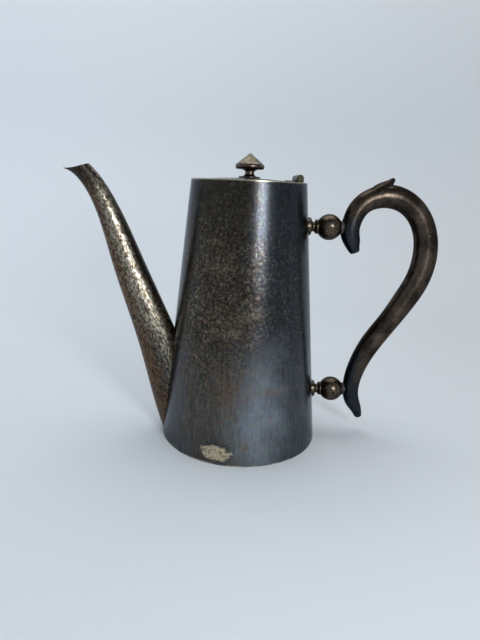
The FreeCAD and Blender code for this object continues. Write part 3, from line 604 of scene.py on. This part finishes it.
# Painted dark reflection at both ends of the barrel.
painted_end_reflection = add(tree, "MapRange", {
    "Value": across, "From Min": BARREL_END_FROM, "From Max": BARREL_END_FULL, "To Max": 0.7,
})
tone = add(tree, "Mix", {"Factor_Float": painted_end_reflection, "A_Color": tone, "B_Color": "#171612"}, **COLOUR)
rough = add(tree, "MapRange", {"Value": clouds, **SPAN, "To Min": 0.5, "To Max": 0.32})
bump = add(tree, "Bump", {"Height": clouds, "Strength": 0.25, "Distance": RELIEF_M})
dress(tree, shader, tone, rough, bump)
print(hinge_brass.name, "nodes:", len(tree.nodes))

# %% [markdown]
# ## The insulators
# Thin discs of pressed, dark fibre keep the pot's heat out of the handle. They are no metal, so
# they only take a colour, a relief and one dull roughness.

# %% Insulators
# Gives the eye an almost black, dull edge between the metals.
fibre, tree, shader, place = new_finish("dark_insulating_fibre")
FIBRE_MM = 0.5         # real fibres are finer: drawn so that they show
grain = add(tree, "TexNoise", {"Vector": place, "Scale": 1 / FIBRE_MM, "Detail": 4.0, "Roughness": 0.7})
tone = add(tree, "Mix", {"Factor_Float": grain, "A_Color": "#171310", "B_Color": "#35291f"}, **COLOUR)
bump = add(tree, "Bump", {"Height": grain, "Strength": 0.2, "Distance": RELIEF_M})
tree.links.new(tone, shader.inputs["Base Color"])
tree.links.new(bump, shader.inputs["Normal"])
shader.inputs["Roughness"].default_value = 0.6
print(fibre.name, "nodes:", len(tree.nodes))

# %% [markdown]
# ## Finishes on the solids
# Each solid keeps its shape and takes one finish, which replaces what it came with. A finish is
# shared by all the solids that are made of the same stuff, so that it is tuned only once.

# %% Assign
FINISH_OF = {
    "body_shell": plate, "base_disc": plate, "rim_bearer": plate, "lid_plate": plate, "lid_bezel": plate,
    "spout": spout_plate, "handle": handle_patina,
    "upper_socket": socket_patina, "lower_socket": socket_patina,
    "upper_handle_pin": hinge_brass, "lower_handle_pin": hinge_brass,
    "upper_insulator": fibre, "lower_insulator": fibre,
    "finial": knob_brass,
    "finial_stud": hinge_brass, "finial_washer": hinge_brass, "finial_nut": hinge_brass,
    "hinge_body_leaf": hinge_brass, "hinge_lid_leaf": hinge_brass, "hinge_pin": hinge_brass,
}
for name, finish in FINISH_OF.items():
    mesh = nodes[name].data
    mesh.materials.clear()
    mesh.materials.append(finish)
print("finished:", len(FINISH_OF), "of", len(nodes))

# %% [markdown]
# ## The table
# The pot stands on pale paper that rises into a backdrop all round, like a deep bowl: a disc, whose
# edge is drawn out and up ring by ring. Metal shows its surroundings, so they are the same plain
# paper on every side. The paper is painted a little greyer towards the handle and lighter on the
# spout's side, a painted fall of light across it.

# %% Paper
FLOOR_RADIUS = 0.42
BEND_RADIUS = 0.30
WALL_TOP = 1.1
AROUND, BEND_STEPS = 96, 12

bpy.ops.object.select_all(action="DESELECT")
bpy.ops.mesh.primitive_circle_add(vertices=AROUND, radius=FLOOR_RADIUS, fill_type="TRIFAN")
paper = bpy.context.object
paper.name = "paper"
bpy.ops.object.mode_set(mode="EDIT")
bpy.ops.mesh.select_mode(type="EDGE")
bpy.ops.mesh.select_all(action="SELECT")
bpy.ops.mesh.region_to_loop()
angles = [math.radians(90 * step / BEND_STEPS) for step in range(1, BEND_STEPS + 1)]
rings = [(FLOOR_RADIUS + BEND_RADIUS * math.sin(a), BEND_RADIUS * (1 - math.cos(a))) for a in angles]
was_radius, was_height = FLOOR_RADIUS, 0.0
for radius, height in rings + [(FLOOR_RADIUS + BEND_RADIUS, WALL_TOP)]:
    grow = radius / was_radius
    bpy.ops.mesh.extrude_edges_move(TRANSFORM_OT_translate={"value": (0, 0, height - was_height)})
    bpy.ops.transform.resize(value=(grow, grow, 1.0), center_override=(0, 0, 0))
    was_radius, was_height = radius, height
bpy.ops.mesh.select_all(action="SELECT")
bpy.ops.mesh.normals_make_consistent(inside=True)
bpy.ops.object.mode_set(mode="OBJECT")
bpy.ops.object.shade_smooth()
print("paper faces:", len(paper.data.polygons))

# %% Paper finish
# Gives the eye a pale, dull ground with hardly a highlight.
paper_finish, tree, shader, place = new_finish("pale_paper")
GREY_FROM, COOL_FULL = 500.0, -500.0   # along X, in millimetres
along_x = add(tree, "SeparateXYZ", {"Vector": place}, out="X")
# Painted light: the paper is lighter on the spout's side and greyer towards the handle.
cool = add(tree, "MapRange", {"Value": along_x, "From Min": GREY_FROM, "From Max": COOL_FULL}, **SMOOTH)
tone = add(tree, "Mix", {"Factor_Float": cool, "A_Color": "#dcdfe1", "B_Color": "#eaf0f5"}, **COLOUR)
tree.links.new(tone, shader.inputs["Base Color"])
shader.inputs["Roughness"].default_value = 0.8
shader.inputs["Specular IOR Level"].default_value = 0.1
paper.data.materials.append(paper_finish)
print(paper_finish.name, "nodes:", len(tree.nodes))

# %% [markdown]
# ## The light
# A window-like lamp on the front right gives the bright line down the body and the spout. Its beam
# is narrowed, because the paper close beside it would glare. A wide soft lamp overhead fills the
# rest. Both are weak enough that the pale paper doesn't clip, so a colour renders about as it is
# written. A faint room light softens the deepest shadows.

# %% Lamps
ROOM_STRENGTH = 0.1


def lamp(name, place, target, size, power, colour, spread):
    """Rectangular soft lamp that looks at a point."""
    light = bpy.data.lights.new(name, "AREA")
    light.shape = "RECTANGLE"
    light.size, light.size_y = size
    light.energy = power
    light.color = linear(colour)[:3]
    light.spread = math.radians(spread)
    made = bpy.data.objects.new(name, light)
    bpy.context.collection.objects.link(made)
    made.location = place
    made.rotation_euler = (Vector(target) - Vector(place)).to_track_quat("-Z", "Y").to_euler()
    made.visible_camera = False


lamp(
    "window", place=(0.22, -0.57, 0.28), target=(0.0, 0.0, 0.2),
    size=(0.13, 0.19), power=1.2, colour="#f6faff", spread=140.0,
)
lamp(
    "overhead", place=(0.0, 0.25, 0.95), target=(0.0, 0.25, 0.0),
    size=(0.9, 0.7), power=4.0, colour="#fcfdff", spread=180.0,
)

world = bpy.data.worlds.new("room")
bpy.context.scene.world = world
world.use_nodes = True
room = world.node_tree.nodes["Background"]
room.inputs["Color"].default_value = linear("#f6f9fc")
room.inputs["Strength"].default_value = ROOM_STRENGTH
bpy.context.scene.view_settings.view_transform = "Standard"
